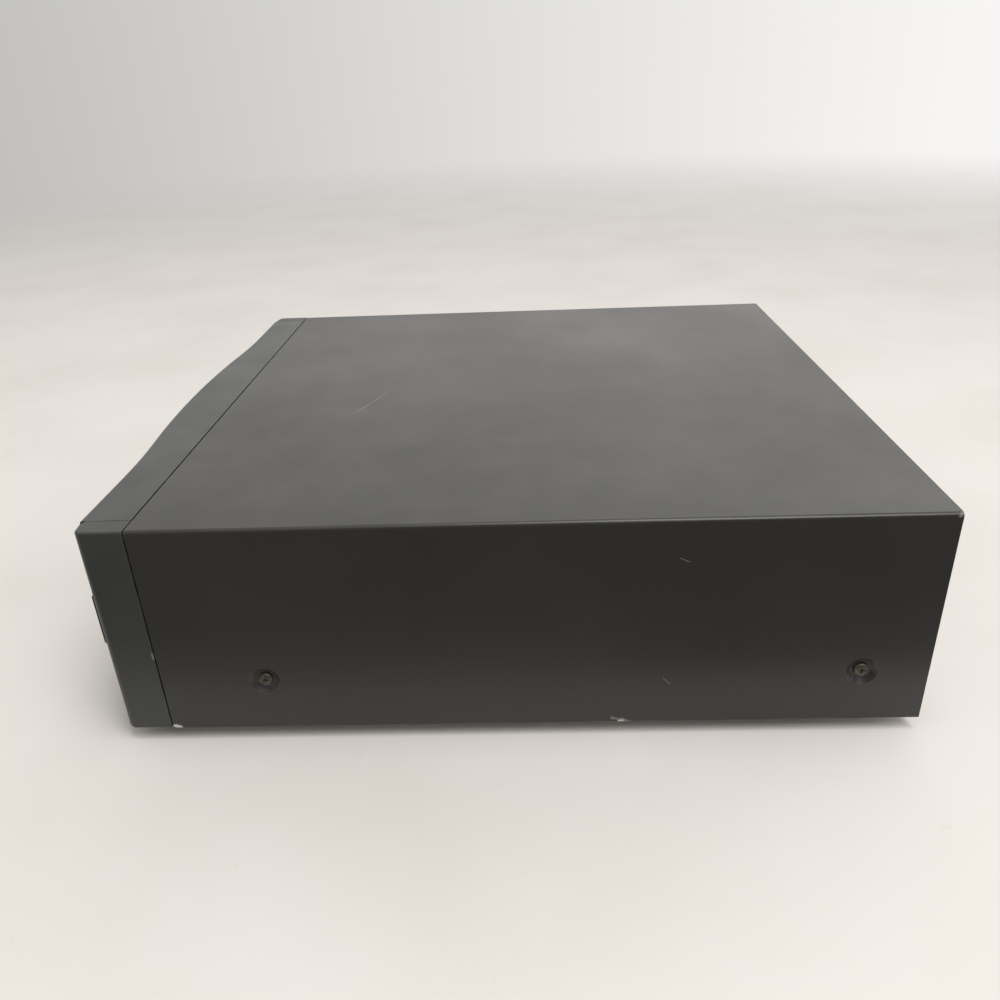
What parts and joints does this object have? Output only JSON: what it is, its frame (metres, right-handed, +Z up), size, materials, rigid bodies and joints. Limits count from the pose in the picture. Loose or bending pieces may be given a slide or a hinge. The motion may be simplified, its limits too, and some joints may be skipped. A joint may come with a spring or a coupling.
{
  "type": "multi disc cd changer",
  "caption": "Full-width hi-fi disc changer: folded steel case, bulging moulded front, sliding drawer with a turning platter, and a pickup that lifts to read the disc.",
  "frame": {"origin": "on the floor, in the middle of the bounding box", "axes": "+X to the right as seen from the front, -Y out of the front, +Z up"},
  "size_m": [0.435, 0.483, 0.14],
  "materials": {
    "case_paint": "satin black baked paint, scuffed",
    "plated_steel": "zinc plated sheet",
    "front_plastic": "fine matt black moulding",
    "cheek_plastic": "matt charcoal moulding",
    "button_plastic": "satin black moulding",
    "smoked_window": "smoked acrylic",
    "display_glass": "dark glass tube",
    "foot_plastic": "black moulding",
    "foot_rubber": "soft pad",
    "screw_steel": "dull nickel plated steel",
    "circuit_board": "green laminate",
    "socket_plastic": "black moulding",
    "tray_plastic": "black moulding",
    "platter_plastic": "fine grained black moulding",
    "motor_steel": "bright plated steel",
    "gear_plastic": "natural acetal",
    "belt_rubber": "square rubber belt",
    "rod_steel": "ground rod",
    "sled_metal": "black moulded carriage"
  },
  "bodies": {
    "case": {"bottom_chassis": "plated_steel", "top_cover": "case_paint", "rear_panel": "case_paint", "front_frame": "plated_steel", "feet": "foot_plastic", "foot_pads": "foot_rubber", "case_screws": "screw_steel", "fascia": "front_plastic", "end_cheek_left": "cheek_plastic", "end_cheek_right": "cheek_plastic", "display_window": "smoked_window", "upper_board": "circuit_board", "lower_board": "circuit_board", "display_tube": "display_glass", "headphone_jack": "socket_plastic", "drawer_rails": "gear_plastic", "side_brackets": "plated_steel", "loading_deck": "tray_plastic", "loading_motor": "motor_steel", "loading_belt": "belt_rubber", "clamp_bridge": "plated_steel", "pickup_cradle": "tray_plastic", "lift_motor": "motor_steel", "main_board": "circuit_board", "transformer": "motor_steel", "rear_jacks": "socket_plastic", "mains_inlet": "socket_plastic"},
    "drawer": {"drawer_front": "front_plastic", "drawer_tray": "tray_plastic", "platter_cap": "platter_plastic", "carousel_motor": "motor_steel"},
    "platter": {"carousel_platter": "platter_plastic", "platter_ring": "platter_plastic"},
    "platter_drive": {"carousel_gear": "gear_plastic"},
    "drawer_drive": {"drawer_gear": "gear_plastic"},
    "belt_wheel": {"belt_pulley": "gear_plastic"},
    "motor_wheel": {"motor_pulley": "gear_plastic"},
    "clamp_puck": {"clamper": "tray_plastic"},
    "pickup": {"pickup_base": "plated_steel", "guide_rods": "rod_steel", "pickup_motors": "motor_steel"},
    "sled": {"pickup_sled": "sled_metal"},
    "sled_drive": {"sled_gear": "gear_plastic"},
    "spindle": {"spindle_hub": "tray_plastic"},
    "slider": {"lift_slider": "gear_plastic"},
    "lift_drive": {"lift_gear": "gear_plastic"},
    "knob": {"level_knob": "button_plastic"},
    "power_key": {"power_button": "button_plastic"},
    "disc_skip_key": {"disc_skip_button": "button_plastic"},
    "open_close_key": {"open_close_button": "button_plastic"},
    "disc_key_1": {"disc_button_1": "button_plastic"},
    "disc_key_2": {"disc_button_2": "button_plastic"},
    "disc_key_3": {"disc_button_3": "button_plastic"},
    "disc_key_4": {"disc_button_4": "button_plastic"},
    "disc_key_5": {"disc_button_5": "button_plastic"},
    "play_key": {"play_button": "button_plastic"},
    "pause_key": {"pause_button": "button_plastic"},
    "stop_key": {"stop_button": "button_plastic"},
    "previous_key": {"previous_button": "button_plastic"},
    "next_key": {"next_button": "button_plastic"}
  },
  "joints": [
    {"name": "drawer_slide", "type": "slide", "parent": "case", "child": "drawer", "axis": [0, -1, 0], "range_m": [0, 0.24]},
    {"name": "platter_spin", "type": "hinge", "parent": "drawer", "child": "platter", "pos_m": [0, -0.044, 0.081], "axis": [0, 0, 1], "continuous": true},
    {"name": "platter_drive_spin", "type": "hinge", "parent": "drawer", "child": "platter_drive", "pos_m": [0.11083, -0.17839, 0.0763], "axis": [0, 0, 1], "continuous": true},
    {"name": "drawer_drive_spin", "type": "hinge", "parent": "case", "child": "drawer_drive", "pos_m": [-0.1558, -0.165, 0.058], "axis": [0, 0, 1], "range_deg": [0, 766]},
    {"name": "belt_wheel_spin", "type": "hinge", "parent": "case", "child": "belt_wheel", "pos_m": [-0.1256, -0.165, 0.05], "axis": [0, 0, 1], "range_deg": [-3060, 0]},
    {"name": "motor_wheel_spin", "type": "hinge", "parent": "case", "child": "motor_wheel", "pos_m": [-0.0736, -0.165, 0.048], "axis": [0, 0, 1], "range_deg": [-11560, 0]},
    {"name": "clamper_spin", "type": "hinge", "parent": "case", "child": "clamp_puck", "pos_m": [0, 0.061, 0.092], "axis": [0, 0, 1], "continuous": true},
    {"name": "pickup_lift", "type": "hinge", "parent": "case", "child": "pickup", "pos_m": [-0.08, 0.061, 0.066], "axis": [0, -1, 0], "range_deg": [0, 11]},
    {"name": "slider_slide", "type": "slide", "parent": "case", "child": "slider", "axis": [0, 1, 0], "range_m": [0, 0.0455]},
    {"name": "lift_drive_spin", "type": "hinge", "parent": "case", "child": "lift_drive", "pos_m": [0.1038, 0.061, 0.016], "axis": [0, 0, 1], "range_deg": [-216, 0]},
    {"name": "sled_slide", "type": "slide", "parent": "pickup", "child": "sled", "axis": [0.9816, 0, -0.1908], "range_m": [0, 0.032]},
    {"name": "sled_drive_spin", "type": "hinge", "parent": "pickup", "child": "sled_drive", "pos_m": [0.03054, 0.0312, 0.04247], "axis": [0.1908, 0, 0.9816], "range_deg": [-329, 0]},
    {"name": "spindle_spin", "type": "hinge", "parent": "pickup", "child": "spindle", "pos_m": [0.0012, 0.061, 0.06448], "axis": [0.1908, 0, 0.9816], "continuous": true},
    {"name": "level_turn", "type": "hinge", "parent": "case", "child": "knob", "pos_m": [-0.148, -0.235, 0.034], "axis": [0, 1, 0], "range_deg": [-150, 150]},
    {"name": "power_press", "type": "slide", "parent": "case", "child": "power_key", "axis": [0, 1, 0], "range_m": [0, 0.0005], "stiffness_N_per_m": 1200, "springref_m": -0.0002},
    {"name": "disc_skip_press", "type": "slide", "parent": "case", "child": "disc_skip_key", "axis": [0, 1, 0], "range_m": [0, 0.0005], "stiffness_N_per_m": 1200, "springref_m": -0.0002},
    {"name": "open_close_press", "type": "slide", "parent": "case", "child": "open_close_key", "axis": [0, 1, 0], "range_m": [0, 0.0005], "stiffness_N_per_m": 1200, "springref_m": -0.0002},
    {"name": "disc_press_1", "type": "slide", "parent": "case", "child": "disc_key_1", "axis": [0, 1, 0], "range_m": [0, 0.0005], "stiffness_N_per_m": 1200, "springref_m": -0.0002},
    {"name": "disc_press_2", "type": "slide", "parent": "case", "child": "disc_key_2", "axis": [0, 1, 0], "range_m": [0, 0.0005], "stiffness_N_per_m": 1200, "springref_m": -0.0002},
    {"name": "disc_press_3", "type": "slide", "parent": "case", "child": "disc_key_3", "axis": [0, 1, 0], "range_m": [0, 0.0005], "stiffness_N_per_m": 1200, "springref_m": -0.0002},
    {"name": "disc_press_4", "type": "slide", "parent": "case", "child": "disc_key_4", "axis": [0, 1, 0], "range_m": [0, 0.0005], "stiffness_N_per_m": 1200, "springref_m": -0.0002},
    {"name": "disc_press_5", "type": "slide", "parent": "case", "child": "disc_key_5", "axis": [0, 1, 0], "range_m": [0, 0.0005], "stiffness_N_per_m": 1200, "springref_m": -0.0002},
    {"name": "play_press", "type": "slide", "parent": "case", "child": "play_key", "axis": [0, 1, 0], "range_m": [0, 0.0005], "stiffness_N_per_m": 1200, "springref_m": -0.0002},
    {"name": "pause_press", "type": "slide", "parent": "case", "child": "pause_key", "axis": [0, 1, 0], "range_m": [0, 0.0005], "stiffness_N_per_m": 1200, "springref_m": -0.0002},
    {"name": "stop_press", "type": "slide", "parent": "case", "child": "stop_key", "axis": [0, 1, 0], "range_m": [0, 0.0005], "stiffness_N_per_m": 1200, "springref_m": -0.0002},
    {"name": "previous_press", "type": "slide", "parent": "case", "child": "previous_key", "axis": [0, 1, 0], "range_m": [0, 0.0005], "stiffness_N_per_m": 1200, "springref_m": -0.0002},
    {"name": "next_press", "type": "slide", "parent": "case", "child": "next_key", "axis": [0, 1, 0], "range_m": [0, 0.0005], "stiffness_N_per_m": 1200, "springref_m": -0.0002}
  ],
  "couplings": [
    {"joint": "platter_drive_spin", "follows": "platter_spin", "ratio": -16.4},
    {"joint": "drawer_drive_spin", "follows": "drawer_slide", "rad_per_m": 55.556},
    {"joint": "belt_wheel_spin", "follows": "drawer_slide", "rad_per_m": -222.22},
    {"joint": "motor_wheel_spin", "follows": "drawer_slide", "rad_per_m": -839.51},
    {"joint": "slider_slide", "follows": "pickup_lift", "m_per_rad": 0.23439},
    {"joint": "lift_drive_spin", "follows": "pickup_lift", "ratio": -19.533},
    {"joint": "sled_drive_spin", "follows": "sled_slide", "rad_per_m": -178.57}
  ]
}
